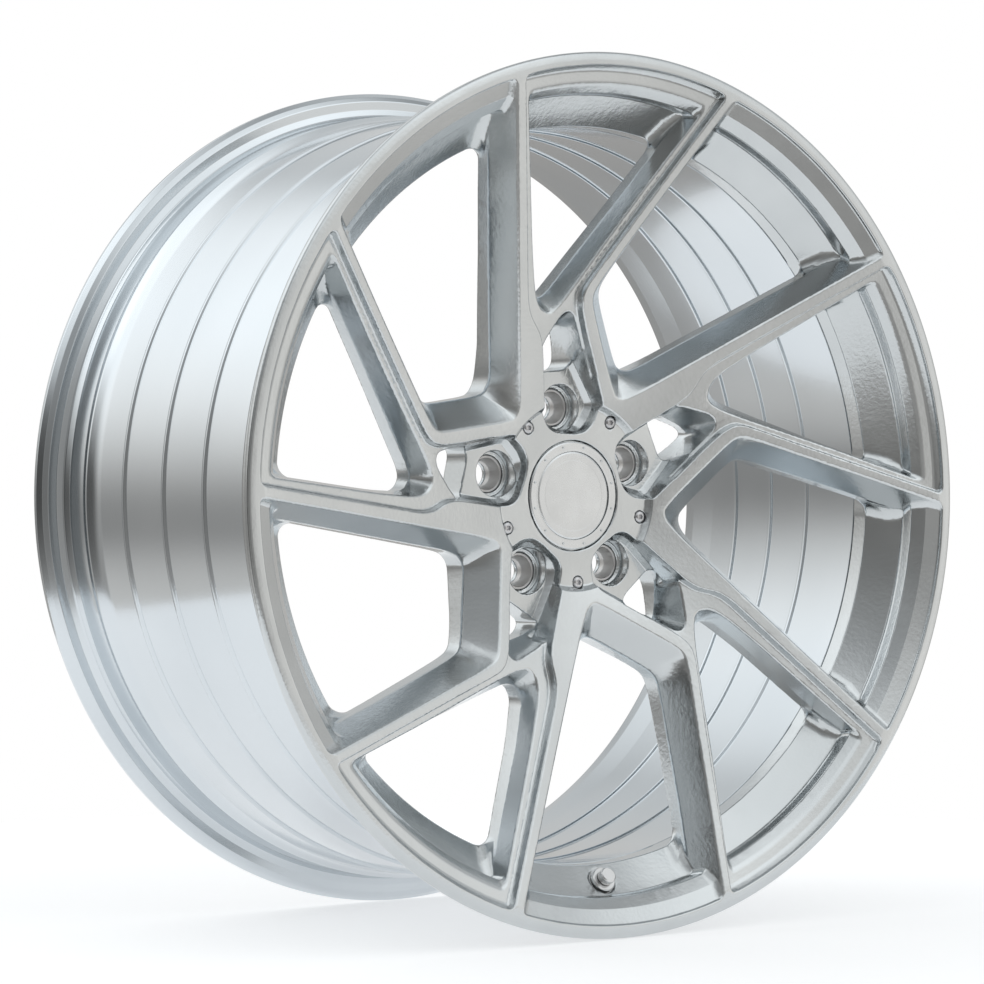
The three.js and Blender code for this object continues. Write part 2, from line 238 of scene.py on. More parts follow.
def tables(step):
    r = np.arange(27.0, 278.0, step)
    nt = int(round(PITCH * 250 / step))
    t = T0 + PITCH * np.arange(nt + 1) / nt
    plan = Table(sector_fields(r[:, None] + 0 * t, t + 0 * r[:, None]), r[0], step, T0, PITCH / nt, PITCH)
    d = np.arange(-6.0, 96.0, 0.4)
    rr = np.arange(27.0, 278.0, 0.4)
    R2, D2 = np.meshgrid(rr, d, indexing="ij")
    turned = Table(np.array([poly_sd(blank, R2, D2), poly_sd(inside, R2, D2)], np.float32), 27.0, 0.4, -6.0, 0.4)
    return plan, turned


def centre_sd(f, q, r, d):
    """Signed distance of the forged centre, without the valve hole; f and q are its tables' values there."""
    w1f, w1b, w2f, w2b, w3f, w3b, st, sb, pt, pm, pf, lug, scr = f
    blank_s, inside_s = q
    fd = face_d(r)
    # the window walls: drafted to DRAFT behind the face cone, straight from there, and wider in the corners at the rim
    corner = 3.5 + 6.0 * np.clip((d - fd - DRAFT + 2.0) / 6.0, 0, 1)
    k = eased((d - (fd + 4.5)) / (DRAFT - 4.5))
    w1 = rmax(w1f * (1 - k) + w1b * k, inside_s, corner)
    k = eased((d - (fd - 1.0)) / (DRAFT + 1.0))
    w2 = rmax(w2f * (1 - k) + w2b * k, inside_s, corner)
    k = np.clip((d - 44.0) / 22.0, 0, 1)
    w3 = w3f * (1 - k) + w3b * k
    k = np.clip((d - (fd - 1.0)) / 7.1, 0, 1)
    floor = (d - (fd + 5.5)) * 0.97
    step = rmax(rmax(st * (1 - k) + sb * k, floor, 1.0), r - 265.4, 4.0)
    top = np.where(r < 58, 54.3, fd - 1.0)
    k = np.clip((d - top) / (60.6 - top), 0, 1)
    e = np.clip((d - 60.6) / 3.4, 0, 1)
    pad = rmax((pt * (1 - k) + pm * k) * (1 - e) + pf * e, d - 64.0, 0.35)
    bore = np.minimum(np.minimum(rmax(lug - 14.5, d - 73.0, 0.8), rmax(lug - 12.0, d - 86.0, 0.3)), lug - 8.0)
    screw = np.minimum(rmax(scr - 4.2, d - 56.9, 0.2), scr - 2.3)
    screw = np.maximum(screw, d - 68.0)
    s = cut(blank_s, step, 0.9)
    s = cut(s, w1, 1.1)
    s = cut(s, w2, 1.1)
    s = cut(s, w3, 1.0)
    s = cut(s, pad, 0.7)
    s = cut(s, bore, 0.7)
    s = cut(s, screw, 0.25)
    return s


def valve_cut(s, r, t, d):
    """Takes the valve's hole and its two spot faces out, t in the valve's own sector."""
    a = t + PITCH * V_TURN
    x, y, z = r * np.cos(a) - V_BASE[0], d - HALF - V_BASE[1], r * np.sin(a) - V_BASE[2]
    along = x * V_DIR[0] + y * V_DIR[1] + z * V_DIR[2]
    off = np.sqrt(np.maximum(x * x + y * y + z * z - along * along, 0))
    hole = np.minimum(np.minimum(rmax(off - 10.2, along + 15.5, 0.5), off - 5.7),
                      rmax(off - 9.2, -2.0 - along, 0.5))
    hole = np.maximum(hole, np.maximum(along - 16, -40 - along))
    return cut(s, hole, 0.5)


def nets(vals, A, B, C):
    """Vertices of a smooth closed surface at vals = 0 on the grid A x B x C, B closing on itself, with its quads.
    Returns the points, the number of each cell's point, and quads of cells with a mark on those of the sector before."""
    nr, nt, nd = vals.shape
    neg = vals < 0
    nb = np.concatenate([neg, neg[:, :1]], 1)
    vb = np.concatenate([vals, vals[:, :1]], 1)
    cnt = np.zeros((nr - 1, nt, nd - 1), np.uint8)
    for i in (0, 1):
        for j in (0, 1):
            for k in (0, 1):
                cnt += nb[i:nr - 1 + i, j:nt + j, k:nd - 1 + k]
    I, J, K = np.nonzero((cnt > 0) & (cnt < 8))
    del cnt
    ids = np.full((nr - 1, nt, nd - 1), -1, np.int32)
    ids[I, J, K] = np.arange(len(I))
    pos, num = np.zeros((len(I), 3)), np.zeros(len(I))
    Bx = np.append(B, B[0] + PITCH)
    for axis in range(3):
        for u in (0, 1):
            for v in (0, 1):
                a = [0, 0, 0]
                a[(axis + 1) % 3], a[(axis + 2) % 3] = u, v
                b = list(a)
                b[axis] = 1
                v0 = vb[I + a[0], J + a[1], K + a[2]]
                v1 = vb[I + b[0], J + b[1], K + b[2]]
                hit = (v0 < 0) != (v1 < 0)
                w = np.where(hit, v0 / np.where(hit, v0 - v1, 1), 0)
                p0 = np.stack([A[I + a[0]], Bx[J + a[1]], C[K + a[2]]], 1)
                p1 = np.stack([A[I + b[0]], Bx[J + b[1]], C[K + b[2]]], 1)
                pos += np.where(hit[:, None], p0 + (p1 - p0) * w[:, None], 0)
                num += hit
    pos /= num[:, None]
    quads, before = [], []

    def add(mask_pairs, cells, flip):
        q = np.stack([ids[np.minimum(c[0], nr - 2), c[1] % nt, np.minimum(c[2], nd - 2)] for c in cells], 1)
        bf = np.stack([c[1] < 0 for c in cells], 1)
        q[flip] = q[flip][:, ::-1]
        bf[flip] = bf[flip][:, ::-1]
        quads.append(q)
        before.append(bf)

    i, j, k = np.nonzero(neg[:-1, :, 1:-1] != neg[1:, :, 1:-1])
    k = k + 1
    add(None, [(i, j - 1, k - 1), (i, j, k - 1), (i, j, k), (i, j - 1, k)], ~neg[i, j, k])
    i, j, k = np.nonzero(nb[1:-1, :-1, 1:-1] != nb[1:-1, 1:, 1:-1])
    i, k = i + 1, k + 1
    add(None, [(i - 1, j, k - 1), (i - 1, j, k), (i, j, k), (i, j, k - 1)], ~neg[i, j, k])
    i, j, k = np.nonzero(neg[1:-1, :, :-1] != neg[1:-1, :, 1:])
    i = i + 1
    add(None, [(i - 1, j - 1, k), (i, j - 1, k), (i, j, k), (i - 1, j, k)], ~neg[i, j, k])
    return pos, ids, np.concatenate(quads), np.concatenate(before)


def spaced(*parts):
    out = [np.linspace(a, b, max(2, int(round((b - a) / h)) + 1))[:-1] for a, b, h in parts]
    return np.append(np.concatenate(out), parts[-1][1])


def forged_centre_mesh():
    """The forged centre: one sector is meshed and turned five times, and the sector with the valve is meshed on its own."""
    q = 1.0
    plan, turned = tables(0.6)
    A = spaced((28.6, 64, 0.9 * q), (64, 226, 1.15 * q), (226, 275.2, 0.8 * q))
    C = spaced((-1.3, 16, 0.8 * q), (16, 91.4, 1.1 * q))
    nt = int(round(PITCH * 262 / (1.1 * q)))
    B = T0 + PITCH * np.arange(nt) / nt
    f2 = plan(A[:, None], B[None, :])[..., None]
    q2 = turned(A[:, None], C[None, :])[:, :, None, :]
    vals = centre_sd(f2, q2, A[:, None, None], C[None, None, :]).astype(np.float32)
    with_valve = valve_cut(vals, A[:, None, None], B[None, :, None], C[None, None, :]).astype(np.float32)

    def place(p, valve):
        """Moves grid points onto the surface."""
        for _ in range(2):
            def S(r, t, d):
                s = centre_sd(plan(r, t), turned(r, d), r, d)
                return valve_cut(s, r, t, d) if valve else s
            r, t, d = p.T
            h = 0.15
            s0 = S(r, t, d)
            g = np.stack([(S(r + h, t, d) - S(r - h, t, d)) / (2 * h), (S(r, t + h / r, d) - S(r, t - h / r, d)) / (2 * h),
                          (S(r, t, d + h) - S(r, t, d - h)) / (2 * h)], 1)
            g2 = np.maximum((g * g).sum(1), 0.25)
            mv = np.clip(s0 / g2, -0.5, 0.5)[:, None] * g
            p = np.stack([r - mv[:, 0], t - mv[:, 1] / r, d - mv[:, 2]], 1)
        return p

    made = {}
    for kind, v in (("plain", vals), ("valve", with_valve)):
        pos, ids, quads, before = nets(v, A, B, C)
        made[kind] = (place(pos, kind == "valve"), ids, quads, before)
    # a quad's cell in the sector before is looked up by its own place in the grid, so both kinds number their seam alike
    verts, faces, offs, kinds = [], [], [], []
    total = 0
    for k in range(5):
        kind = "valve" if k == V_TURN else "plain"
        kinds.append(kind)
        offs.append(total)
        total += len(made[kind][0])
    for k in range(5):
        pos, ids, quads, before = made[kinds[k]]
        prev = made[kinds[k - 1]]
        r, t, d = pos.T
        a = t + PITCH * k
        verts.append(np.stack([r * np.cos(a), d - HALF, r * np.sin(a)], 1))
        back = np.full(len(pos), -1, np.int64)
        seam = ids[:, -1, :]
        seam_prev = prev[1][:, -1, :]
        ok = (seam >= 0) & (seam_prev >= 0)
        back[seam[ok]] = seam_prev[ok]
        g = np.where(before, back[quads] + offs[k - 1], quads + offs[k])
        faces.append(g[:, ::-1])
    return np.concatenate(verts), np.concatenate(faces)


# ---------------------------------------------------------------------------
# meshes
# ---------------------------------------------------------------------------
def new_mesh(name, verts, faces):
    """An object from points in millimetres and faces of one size, or a list of such groups."""
    groups = faces if isinstance(faces, list) else [faces]
    groups = [np.asarray(g, np.int64) for g in groups if len(g)]
    me = bpy.data.meshes.new(name)
    me.vertices.add(len(verts))
    me.vertices.foreach_set("co", (np.asarray(verts, float) / 1000.0).astype(np.float32).ravel())
    loops = np.concatenate([g.ravel() for g in groups])
    sizes = np.concatenate([np.full(len(g), g.shape[1]) for g in groups])
    starts = np.concatenate([[0], np.cumsum(sizes)[:-1]])
    me.loops.add(len(loops))
    me.loops.foreach_set("vertex_index", loops.astype(np.int32))
    me.polygons.add(len(sizes))
    me.polygons.foreach_set("loop_start", starts.astype(np.int32))
    me.update(calc_edges=True)
    me.validate()
    me.shade_smooth()
    ob = bpy.data.objects.new(name, me)
    bpy.context.scene.collection.objects.link(ob)
    return ob


def bake_modifiers(ob):
    dg = bpy.context.evaluated_depsgraph_get()
    me = bpy.data.meshes.new_from_object(ob.evaluated_get(dg))
    ob.modifiers.clear()
    old = ob.data
    ob.data = me
    bpy.data.meshes.remove(old)
    me.name = ob.name


def close_up(ob):
    """Fills the pinholes that thinning a mesh can leave."""
    bm = bmesh.new()
    bm.from_mesh(ob.data)
    bmesh.ops.dissolve_degenerate(bm, dist=1e-7, edges=bm.edges[:])
    rim = [e for e in bm.edges if e.is_boundary]
    if rim:
        made = bmesh.ops.holes_fill(bm, edges=rim, sides=16)["faces"]
        bmesh.ops.triangulate(bm, faces=[f for f in made if len(f.verts) > 4])
    bm.normal_update()
    bm.to_mesh(ob.data)
    bm.free()
    ob.data.shade_smooth()


def weigh_normals(ob, weight=50):
    m = ob.modifiers.new("normals", "WEIGHTED_NORMAL")
    m.mode = "FACE_AREA_WITH_ANGLE"
    m.weight = weight
    m.keep_sharp = False
    bake_modifiers(ob)


def outward(verts, groups):
    """Turns a closed shell's faces outward."""
    vol = 0.0
    for g in groups:
        P = verts[g]
        for k in range(1, g.shape[1] - 1):
            vol += float(np.einsum("ij,ij->", P[:, 0], np.cross(P[:, k], P[:, k + 1])))
    return (verts, groups) if vol > 0 else (verts, [g[:, ::-1] for g in groups])


def lathe(profile, seg, phase=0.0):
    """A closed turned ring from a closed outline of (radius, depth); a point on the axis closes it."""
    P = np.asarray(profile, float)
    m = len(P)
    on_axis = P[:, 0] < 1e-6
    verts, idx = [], np.zeros((m, seg), np.int64)
    a = phase + 2 * math.pi * np.arange(seg) / seg
    for i, (r, d) in enumerate(P):
        if on_axis[i]:
            idx[i] = len(verts)
            verts.append((0.0, d, 0.0))
        else:
            idx[i] = len(verts) + np.arange(seg)
            verts.extend(np.stack([r * np.cos(a), np.full(seg, d), r * np.sin(a)], 1))
    quads, tris = [], []
    area = 0.5 * float(np.sum(P[:, 0] * np.roll(P[:, 1], -1) - np.roll(P[:, 0], -1) * P[:, 1]))
    for i in range(m):
        j = (i + 1) % m
        if on_axis[i] and on_axis[j]:
            continue
        p, q = idx[i], idx[j]
        p2, q2 = np.roll(p, -1), np.roll(q, -1)
        if on_axis[i]:
            f = np.stack([p, q2, q], 1)
            tris.append(f if area > 0 else f[:, ::-1])
        elif on_axis[j]:
            f = np.stack([p, p2, q], 1)
            tris.append(f if area > 0 else f[:, ::-1])
        else:
            f = np.stack([p, p2, q2, q], 1)
            quads.append(f if area > 0 else f[:, ::-1])
    groups = ([np.concatenate(quads)] if quads else []) + ([np.concatenate(tris)] if tris else [])
    return outward(np.array(verts, float), groups)


def in_wheel(v, x=0.0, z=0.0):
    """From (x, depth, z) to the wheel's frame."""
    return v + np.array([x, -HALF, z])


def on_valve(v):
    """From (a, distance along the valve, b) to the wheel's frame."""
    up = V_DIR / np.linalg.norm(V_DIR)
    side = np.array([math.sin(V_ANG), 0.0, -math.cos(V_ANG)])
    side /= np.linalg.norm(side)
    other = np.cross(side, up)
    return V_BASE + v[:, :1] * side + v[:, 1:2] * up + v[:, 2:] * other


def join(*made):
    """Several (points, groups of faces) as one."""
    verts, by = [], {}
    n = 0
    for v, groups in made:
        for g in groups:
            by.setdefault(g.shape[1], []).append(g + n)
        verts.append(v)
        n += len(v)
    return np.concatenate(verts), [np.concatenate(x) for x in by.values()]


def rings(radii, depth, seg):
    """A closed cap from rings about the axis: radii is a list of arrays of one radius per angle, or 0 for the tip."""
    a = 2 * math.pi * np.arange(seg) / seg
    verts, idx = [], []
    for R, d in zip(radii, depth):
        if np.isscalar(R) and R < 1e-9:
            idx.append(np.full(seg, len(verts)))
            verts.append((0.0, float(d), 0.0))
        else:
            R = np.broadcast_to(R, seg)
            idx.append(len(verts) + np.arange(seg))
            verts.extend(np.stack([R * np.cos(a), np.broadcast_to(d, seg), R * np.sin(a)], 1))
    quads, tris = [], []
    for p, q in zip(idx[:-1], idx[1:]):
        p2, q2 = np.roll(p, -1), np.roll(q, -1)
        if p[0] == p[1]:
            tris.append(np.stack([p, q2, q], 1)[:, ::-1])
        elif q[0] == q[1]:
            tris.append(np.stack([p, p2, q], 1)[:, ::-1])
        else:
            quads.append(np.stack([p, p2, q2, q], 1)[:, ::-1])
    return outward(np.array(verts, float), [np.concatenate(quads), np.concatenate(tris)])


def piece(name, made, body, slot, *nodes, normals=True):
    ob = new_mesh(name, *made)
    if normals:
        weigh_normals(ob)
    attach(ob, body)
    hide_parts(*nodes)
    return ob


# ---- forged centre --------------------------------------------------------
v, f = forged_centre_mesh()
v, f = outward(v, [f])
f = f[0]
centre = new_mesh("forged_centre_look", v, f)
full = len(f) * 2
thin = centre.modifiers.new("thin", "DECIMATE")
thin.ratio = min(1.0, 190000 / full)
bake_modifiers(centre)
close_up(centre)
weigh_normals(centre)
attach(centre, "wheel")
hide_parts("forged_centre")

# ---- spun barrel ----------------------------------------------------------
def barrel_r(d):
    return 237.9 + (d - 60.0) * 0.09


def barrel_outline():
    t = 6.6
    out = [(231.5, 50.6, 0.4), (244.25, 50.6, 0.3), (238.9, 56.4, 6.0), (238.05, 60.5, 12.0)]
    for a, b in ((101.6, 103.4), (143.6, 145.4), (185.6, 187.4)):
        out += [(barrel_r(a), a - 0.3, 0.8), (barrel_r(a) + 1.5, a + 0.8, 1.0), (barrel_r(a) + 1.5, a + 2.2, 1.0), (barrel_r(a) + 0.8, b + 2.0, 1.2)]
    out += [(251.8, 217.0, 30), (SEAT_R - 0.4, 225.0, 3), (SEAT_R - 1.5, 229.8, 4), (SEAT_R - 0.2, W - 16.8, 4),
            (258.2, W - 12.2, 2.5), (262.4, W - FL_T, 2.0), (268.2, W - FL_T, 1.5), (271.2, W - 8.0, 2.0), (RIM_R, W - 4.6, 1.0),
            (RIM_R, W - 1.8, 1.0), (272.4, W - 0.5, 1.0), (268.0, W, 2.0), (259.8, W - 0.6, 2.0), (249.6, W - 10.6, 4.0), (248.0, W - 21.0, 6.0),
            (246.2, 217.0, 30)]
    for a, b in ((185.6, 187.4), (143.6, 145.4), (101.6, 103.4)):
        ra = barrel_r(a) - t - 0.2
        out += [(barrel_r(b) - t + 0.6, b + 1.5, 1.2), (ra - 1.1, b + 0.2, 1.2), (ra - 1.2, a - 0.3, 1.2), (ra, a - 1.7, 1.2)]
    return fillet(out, 8)


SEG = 360
v, g = lathe(barrel_outline(), SEG)
barrel = piece("rim_barrel_look", (in_wheel(v), g), "wheel", "spun_aluminium", "rim_barrel")

# ---- lug seats and hub screws ---------------------------------------------
seats, screws = [], []
for k in range(5):
    c, s = math.cos(PITCH * k), math.sin(PITCH * k)
    x, z = LUG[0] * c - LUG[1] * s, LUG[0] * s + LUG[1] * c
    v, g = lathe(fillet([(11.7, 73.4, 0.5), (11.7, 85.7, 0.5), (7.9, 85.7, 0.3), (7.9, 81.4, 1.0), (10.2, 73.4, 0.35)], 4), 64)
    seats.append(piece(f"lug_seat_look_{k + 1}", (in_wheel(v, x, z), g), "wheel", "seat_steel", f"lug_seat_{k + 1}"))
    x, z = SCREW[0] * c - SCREW[1] * s, SCREW[0] * s + SCREW[1] * c
    seg = 48
    a = 2 * math.pi * np.arange(seg) / seg
    star = 1.45 + 0.17 * np.cos(6 * a)
    prof = [(0, 56.0), (star * 0.55, 56.0), (star * 0.93, 55.95), (star, 55.8), (star, 54.45), (star * 1.04 + 0.02, 54.3),
            (1.95, 54.18), (2.4, 54.24), (2.9, 54.45), (3.3, 54.75), (3.6, 55.15), (3.77, 55.6), (3.8, 55.9), (3.8, 56.35),
            (3.65, 56.5), (2.0, 56.5), (1.95, 56.7), (1.95, 66.2), (1.7, 66.5), (0, 66.5)]
    v, g = rings([p[0] for p in prof], [p[1] for p in prof], seg)
    screws.append(piece(f"hub_screw_look_{k + 1}", (in_wheel(v, x, z), g), "wheel", "screw_steel", f"hub_screw_{k + 1}"))

# ---- centre cap -----------------------------------------------------------
v, g = lathe(fillet([(0, 56.95), (28.0, 56.95, 0.1), (28.0, 55.05, 0.25), (29.1, 55.05), (29.25, 55.16), (29.4, 55.05), (33.2, 55.05, 0.5),
                     (34.1, 55.7, 0.4), (34.1, 57.9, 0.2), (29.9, 57.9, 0.2), (29.9, 64.0, 0.15), (28.7, 64.0, 0.15), (28.7, 66.4, 0.15),
                     (29.9, 66.4, 0.2), (29.5, 68.8, 0.3), (27.6, 68.8, 0.3), (27.6, 59.4, 0.3), (0, 59.4)], 5), 144)
dots = [(v, g)]
for k in range(12):
    a = math.radians(15 + 30 * k)
    prof = [(0, 54.35), (0.35, 54.39), (0.62, 54.52), (0.8, 54.76), (0.86, 55.2), (0.7, 55.4), (0, 55.4)]
    dv, dg = rings([p[0] for p in prof], [p[1] for p in prof], 16)
    dots.append((dv + np.array([31.2 * math.cos(a), 0, 31.2 * math.sin(a)]), dg))
v, g = join(*dots)
cap_body = piece("cap_body_look", (in_wheel(v), g), "centre_cap", "cap_aluminium", "cap_body")
v, g = lathe(fillet([(0, 55.3), (22.0, 55.3), (22.15, 55.42), (22.45, 55.42), (22.6, 55.3), (26.6, 55.3, 0.5), (27.7, 55.7, 0.3),
                     (27.7, 56.6, 0.15), (0, 56.6)], 5), 144)
cap_face = piece("cap_face_look", (in_wheel(v), g), "centre_cap", "cap_aluminium", "cap_face")
a = 2 * math.pi * np.arange(16) / 16
v, g = lathe(np.stack([29.5 + 0.6 * np.cos(a), 65.2 + 0.6 * np.sin(a)], 1), 144)
cap_ring = piece("cap_spring_ring_look", (in_wheel(v), g), "centre_cap", "spring_steel", "cap_spring_ring", normals=False)

# ---- tyre valve -----------------------------------------------------------
def valve_piece(name, outline, body, slot, node, seg=64):
    v, g = lathe(fillet(outline, 5), seg)
    return piece(name, outward(on_valve(v), g), body, slot, node)


valve_piece("valve_stem_look", [(2.5, -22.0, 0.2), (8.2, -22.0, 0.5), (8.2, -18.9, 0.4), (4.2, -18.9, 0.5), (4.2, 3.2, 0.3),
                                (3.8, 3.6, 0.2), (3.8, 6.6, 0.3), (2.5, 6.6, 0.2)], "wheel", "valve_metal", "valve_stem")
valve_piece("valve_seal_look", [(4.6, -18.6, 0.3), (8.6, -18.6, 0.8), (8.6, -15.8, 0.8), (4.6, -15.8, 0.3)], "wheel", "valve_rubber", "valve_seal")
valve_piece("valve_washer_look", [(4.6, -1.7, 0.1), (8.6, -1.7, 0.2), (8.6, -0.8, 0.2), (4.6, -0.8, 0.1)], "wheel", "valve_metal", "valve_washer")
valve_piece("valve_nut_look", [(4.6, -0.5, 0.1), (8.3, -0.5, 0.2), (8.3, 2.2, 0.4), (7.4, 3.0, 0.4), (4.9, 3.0, 0.3), (4.6, 2.6, 0.1)],
            "wheel", "valve_metal", "valve_nut")
valve_piece("valve_core_look", [(0.95, -12.0, 0.1), (2.2, -12.0, 0.2), (2.2, 5.4, 0.2), (0.95, 5.4, 0.1)], "wheel", "valve_brass", "valve_core", 32)
valve_piece("valve_core_pin_look", [(0, -13.6), (0.65, -13.6, 0.2), (0.65, 6.4, 0.2), (0, 6.4)], "valve_pin", "valve_brass", "valve_core_pin", 24)
valve_piece("valve_cap_look", [(0, 7.0), (4.1, 7.0, 0.3), (4.1, 3.5, 0.2), (5.3, 3.5, 0.3), (5.3, 7.9, 0.5), (4.4, 8.6, 0.4), (0, 8.6)],
            "valve_cap", "valve_cap_metal", "valve_cap")


# ---------------------------------------------------------------------------
# materials
# ---------------------------------------------------------------------------
class Nodes:
    def __init__(self, name):
        self.mat = bpy.data.materials.new(name)
        self.mat.use_nodes = True
        self.t = self.mat.node_tree
        self.t.nodes.clear()
        self.out = self.t.nodes.new("ShaderNodeOutputMaterial")
        self.bsdf = self.t.nodes.new("ShaderNodeBsdfPrincipled")
        self.t.links.new(self.bsdf.outputs[0], self.out.inputs[0])
        self.co = self.t.nodes.new("ShaderNodeTexCoord").outputs["Object"]

    def node(self, kind, values=None, **props):
        n = self.t.nodes.new(kind)
        for k, v in props.items():
            setattr(n, k, v)
        for k, v in (values or {}).items():
            if isinstance(v, bpy.types.NodeSocket):
                self.t.links.new(v, n.inputs[k])
            else:
                n.inputs[k].default_value = v
        return n

    def math(self, op, a, b=0.0, c=0.0):
        return self.node("ShaderNodeMath", {0: a, 1: b, 2: c}, operation=op).outputs[0]

    def noise(self, scale, detail=2.0, rough=0.5, vector=None, distortion=0.0):
        return self.node("ShaderNodeTexNoise", {"Vector": vector or self.co, "Scale": scale, "Detail": detail,
                                                "Roughness": rough, "Distortion": distortion}).outputs["Fac"]

    def span(self, fac, lo, hi, a=0.0, b=1.0):
        return self.node("ShaderNodeMapRange", {"Value": fac, "From Min": a, "From Max": b, "To Min": lo, "To Max": hi}).outputs[0]

    def mix(self, fac, a, b):
        n = self.node("ShaderNodeMix", data_type="RGBA")
        for i, v in ((0, fac), (6, a), (7, b)):
            if isinstance(v, bpy.types.NodeSocket):
                self.t.links.new(v, n.inputs[i])
            else:
                n.inputs[i].default_value = v
        return n.outputs[2]

    def bump(self, height, distance, strength=1.0, normal=None):
        v = {"Height": height, "Distance": distance, "Strength": strength}
        if normal is not None:
            v["Normal"] = normal
        return self.node("ShaderNodeBump", v).outputs[0]

    def set(self, **values):
        for k, v in values.items():
            k = k.replace("_", " ")
            if isinstance(v, bpy.types.NodeSocket):
                self.t.links.new(v, self.bsdf.inputs[k])
            else:
                self.bsdf.inputs[k].default_value = v
        return self.mat

    def turned(self, freq_axial, freq_radial):
        """A coordinate that only changes along the axis and with the radius, for marks of the lathe."""
        s = self.node("ShaderNodeSeparateXYZ", {0: self.co})
        r = self.math("SQRT", self.math("ADD", self.math("MULTIPLY", s.outputs[0], s.outputs[0]),
                                        self.math("MULTIPLY", s.outputs[2], s.outputs[2])))
        return self.node("ShaderNodeCombineXYZ", {0: self.math("MULTIPLY", s.outputs[1], freq_axial),
                                                  1: self.math("MULTIPLY", r, freq_radial)}).outputs[0]


def rgb(r, g, b):
    return (r, g, b, 1.0)


def forged():
    m = Nodes("forged_clear_coated")
    cloud = m.noise(14, 3, 0.55)
    fine = m.noise(900, 2, 0.6)
    peel = m.noise(420, 1.5, 0.5)
    soft = m.noise(90, 2, 0.5)
    col = m.mix(m.span(cloud, 0, 1, 0.3, 0.7), rgb(0.54, 0.565, 0.575), rgb(0.62, 0.645, 0.655))
    rough = m.math("ADD", m.span(cloud, 0.17, 0.23, 0.3, 0.7), m.span(fine, -0.03, 0.03))
    n1 = m.bump(soft, 0.0001, 0.5)
    n2 = m.bump(peel, 0.00009, 0.8, n1)
    n3 = m.bump(fine, 0.000014, 0.8, n2)
    return m.set(Base_Color=col, Metallic=1.0, Roughness=rough, Normal=n3, Coat_Weight=0.5, Coat_Roughness=0.06, Coat_IOR=1.5)


def spun():
    m = Nodes("spun_clear_coated")
    lines = m.noise(1.0, 2, 0.6, m.turned(2200, 2200))
    cloud = m.noise(9, 2, 0.5)
    peel = m.noise(240, 1.5, 0.5)
    col = m.mix(m.span(cloud, 0, 1, 0.3, 0.7), rgb(0.62, 0.66, 0.69), rgb(0.68, 0.72, 0.75))
    rough = m.math("ADD", m.span(cloud, 0.13, 0.18, 0.3, 0.7), m.span(lines, -0.03, 0.03))
    n1 = m.bump(peel, 0.00002, 0.4)
    n2 = m.bump(lines, 0.000004, 0.5, n1)
    return m.set(Base_Color=col, Metallic=1.0, Roughness=rough, Normal=n2, Coat_Weight=0.6, Coat_Roughness=0.05, Coat_IOR=1.5)


def plain_metal(name, c0, c1, r0, r1, scale=900, height=0.000006, coat=0.0):
    m = Nodes(name)
    cloud = m.noise(60, 2, 0.5)
    fine = m.noise(scale, 2, 0.6)
    col = m.mix(m.span(cloud, 0, 1, 0.3, 0.7), rgb(*c0), rgb(*c1))
    rough = m.math("ADD", m.span(cloud, r0, r1, 0.3, 0.7), m.span(fine, -0.04, 0.04))
    return m.set(Base_Color=col, Metallic=1.0, Roughness=rough, Normal=m.bump(fine, height, 0.7), Coat_Weight=coat, Coat_Roughness=0.08)


def rubber():
    m = Nodes("seal_rubber")
    fine = m.noise(1500, 2, 0.6)
    col = m.mix(fine, rgb(0.018, 0.018, 0.019), rgb(0.035, 0.035, 0.036))
    return m.set(Base_Color=col, Roughness=m.span(fine, 0.6, 0.8), Normal=m.bump(fine, 0.00002, 0.6))


def coat(ob, mat):
    ob.data.materials.clear()
    ob.data.materials.append(mat)


forged_mat, spun_mat = forged(), spun()
cap_mat = plain_metal("cap_satin", (0.64, 0.66, 0.67), (0.71, 0.73, 0.74), 0.24, 0.3, 1100, 0.000012, 0.4)
seat_mat = plain_metal("seat_steel", (0.62, 0.61, 0.6), (0.72, 0.71, 0.7), 0.42, 0.5)
screw_mat = plain_metal("screw_steel", (0.5, 0.5, 0.51), (0.6, 0.6, 0.61), 0.2, 0.28)
spring_mat = plain_metal("spring_steel", (0.4, 0.4, 0.41), (0.5, 0.5, 0.5), 0.28, 0.36)
valve_mat = plain_metal("valve_nickel", (0.6, 0.6, 0.6), (0.68, 0.68, 0.68), 0.18, 0.26)
brass_mat = plain_metal("valve_brass", (0.62, 0.45, 0.2), (0.7, 0.52, 0.25), 0.25, 0.35)
rubber_mat = rubber()
coat(centre, forged_mat)
coat(barrel, spun_mat)
for o in seats:
    coat(o, seat_mat)
for o in screws:
    coat(o, screw_mat)
coat(cap_body, cap_mat)
coat(cap_face, cap_mat)
coat(cap_ring, spring_mat)
by_name = bpy.data.objects
for n, m in (("valve_stem_look", valve_mat), ("valve_seal_look", rubber_mat), ("valve_washer_look", valve_mat), ("valve_nut_look", valve_mat),
             ("valve_core_look", brass_mat), ("valve_core_pin_look", brass_mat), ("valve_cap_look", valve_mat)):
    coat(by_name[n], m)

# ---------------------------------------------------------------------------
# studio
# ---------------------------------------------------------------------------
scene = bpy.context.scene
scene.view_settings.view_transform = "Standard"
scene.view_settings.look = "None"

# (azimuth, elevation, inner angle, outer angle, level): azimuth 0 is straight in front, positive to the wheel's +X side
SKY_BASE = 0.38
SKY = [
    (10, 49, 12, 44, 0.76),
    (45, 38, 8, 32, 0.20),
    (38, 0, 10, 36, 0.50),
    (85, 0, 12, 55, 0.26),
    (-132, 46, 14, 50, 1.0),
    (-80, 46, 6, 30, 0.40),
    (140, 38, 10, 46, 0.30),
    (-40, 2, 5, 24, -0.14),
    (-64, 0, 5, 26, -0.06),
    (-92, 3, 6, 32, -0.27),
    (-150, -5, 3, 14, -0.08),
    (-145, -21, 3, 16, 0.30),
]

